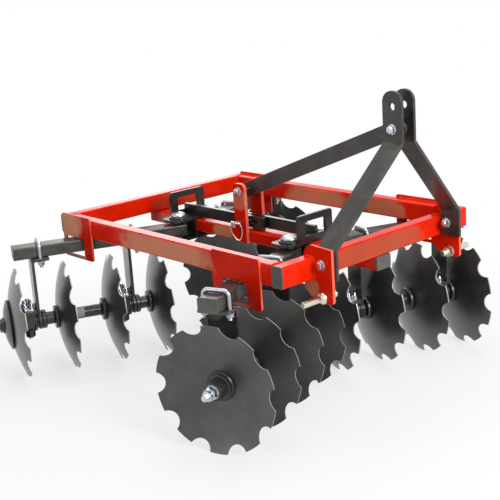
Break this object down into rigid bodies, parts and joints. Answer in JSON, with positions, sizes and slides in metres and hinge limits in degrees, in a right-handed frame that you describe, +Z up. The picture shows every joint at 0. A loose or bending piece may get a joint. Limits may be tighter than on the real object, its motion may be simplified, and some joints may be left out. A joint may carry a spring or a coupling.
{
  "type": "mounted disc harrow",
  "caption": "Tractor-mounted tandem disc harrow: box frame with mast, and angled gangs of notched discs that turn on spools and swing as two carriages slide.",
  "frame": {"origin": "on the ground under the middle of the whole machine's bounding box", "axes": "+X forward, towards the tractor; +Y to the machine's left; +Z up"},
  "size_m": [1.693, 1.6762, 1.1669],
  "materials": {
    "frame_paint": "gloss",
    "dark_paint": "satin",
    "disc_steel": "satin",
    "cast_hubs": "satin",
    "zinc": "satin",
    "hitch_zinc": "satin"
  },
  "bodies": {
    "frame": {"front_beam": "frame_paint", "rear_beam": "frame_paint", "side_beam_right": "frame_paint", "side_beam_left": "frame_paint", "centre_beam": "frame_paint", "corner_plate_front_right": "frame_paint", "corner_plate_front_left": "frame_paint", "corner_plate_rear_right": "frame_paint", "corner_plate_rear_left": "frame_paint", "tower_plates": "frame_paint", "hitch_bracket_right": "frame_paint", "hitch_bracket_left": "frame_paint", "lower_pin_right": "hitch_zinc", "lower_pin_left": "hitch_zinc", "mast_leg_right": "dark_paint", "mast_leg_left": "dark_paint", "mast_brace": "dark_paint", "brace_bolts": "zinc", "lock_pin": "zinc"},
    "front_slide": {"front_carriage": "dark_paint", "front_slide_bar": "dark_paint"},
    "rear_slide": {"rear_carriage": "dark_paint", "rear_slide_bar": "dark_paint"},
    "gang_front_right": {"gang_tube_front_right": "dark_paint", "hangers_front_right": "dark_paint", "u_bolts_front_right": "zinc", "bearings_front_right": "cast_hubs"},
    "discs_front_right": {"spindle_front_right": "cast_hubs", "disc_front_right_1": "disc_steel", "disc_front_right_2": "disc_steel", "disc_front_right_3": "disc_steel", "disc_front_right_4": "disc_steel"},
    "gang_front_left": {"gang_tube_front_left": "dark_paint", "hangers_front_left": "dark_paint", "u_bolts_front_left": "zinc", "bearings_front_left": "cast_hubs"},
    "discs_front_left": {"spindle_front_left": "cast_hubs", "disc_front_left_1": "disc_steel", "disc_front_left_2": "disc_steel", "disc_front_left_3": "disc_steel", "disc_front_left_4": "disc_steel"},
    "gang_rear_right": {"gang_tube_rear_right": "dark_paint", "hangers_rear_right": "dark_paint", "u_bolts_rear_right": "zinc", "bearings_rear_right": "cast_hubs"},
    "discs_rear_right": {"spindle_rear_right": "cast_hubs", "disc_rear_right_1": "disc_steel", "disc_rear_right_2": "disc_steel", "disc_rear_right_3": "disc_steel", "disc_rear_right_4": "disc_steel"},
    "gang_rear_left": {"gang_tube_rear_left": "dark_paint", "hangers_rear_left": "dark_paint", "u_bolts_rear_left": "zinc", "bearings_rear_left": "cast_hubs"},
    "discs_rear_left": {"spindle_rear_left": "cast_hubs", "disc_rear_left_1": "disc_steel", "disc_rear_left_2": "disc_steel", "disc_rear_left_3": "disc_steel", "disc_rear_left_4": "disc_steel"}
  },
  "joints": [
    {"name": "front_slide", "type": "slide", "parent": "frame", "child": "front_slide", "axis": [-1, 0, 0], "range_m": [-0.06, 0.03]},
    {"name": "rear_slide", "type": "slide", "parent": "frame", "child": "rear_slide", "axis": [1, 0, 0], "range_m": [-0.06, 0.03]},
    {"name": "gang_front_right_swing", "type": "hinge", "parent": "front_slide", "child": "gang_front_right", "pos_m": [0.32318, -0.09, 0.53], "axis": [0, 0, 1], "range_deg": [-7.81, 4.16]},
    {"name": "discs_front_right_spin", "type": "hinge", "parent": "gang_front_right", "child": "discs_front_right", "pos_m": [0.42072, -0.35512, 0.23], "axis": [0.3453, -0.9385, 0], "continuous": true},
    {"name": "gang_front_left_swing", "type": "hinge", "parent": "front_slide", "child": "gang_front_left", "pos_m": [0.32318, 0.09, 0.53], "axis": [0, 0, 1], "range_deg": [-4.16, 7.81]},
    {"name": "discs_front_left_spin", "type": "hinge", "parent": "gang_front_left", "child": "discs_front_left", "pos_m": [0.42072, 0.35512, 0.23], "axis": [0.3453, 0.9385, 0], "continuous": true},
    {"name": "gang_rear_right_swing", "type": "hinge", "parent": "rear_slide", "child": "gang_rear_right", "pos_m": [-0.36332, -0.09, 0.53], "axis": [0, 0, 1], "range_deg": [-4.03, 7.57]},
    {"name": "discs_rear_right_spin", "type": "hinge", "parent": "gang_rear_right", "child": "discs_rear_right", "pos_m": [-0.53987, -0.51206, 0.23], "axis": [-0.3859, -0.9225, 0], "continuous": true},
    {"name": "gang_rear_left_swing", "type": "hinge", "parent": "rear_slide", "child": "gang_rear_left", "pos_m": [-0.36332, 0.09, 0.53], "axis": [0, 0, 1], "range_deg": [-7.57, 4.03]},
    {"name": "discs_rear_left_spin", "type": "hinge", "parent": "gang_rear_left", "child": "discs_rear_left", "pos_m": [-0.53987, 0.51206, 0.23], "axis": [-0.3859, 0.9225, 0], "continuous": true}
  ],
  "couplings": [
    {"joint": "gang_front_right_swing", "follows": "front_slide", "rad_per_m": 2.1275},
    {"joint": "gang_front_left_swing", "follows": "front_slide", "rad_per_m": -2.1275},
    {"joint": "gang_rear_right_swing", "follows": "rear_slide", "rad_per_m": -2.0557},
    {"joint": "gang_rear_left_swing", "follows": "rear_slide", "rad_per_m": 2.0557}
  ]
}
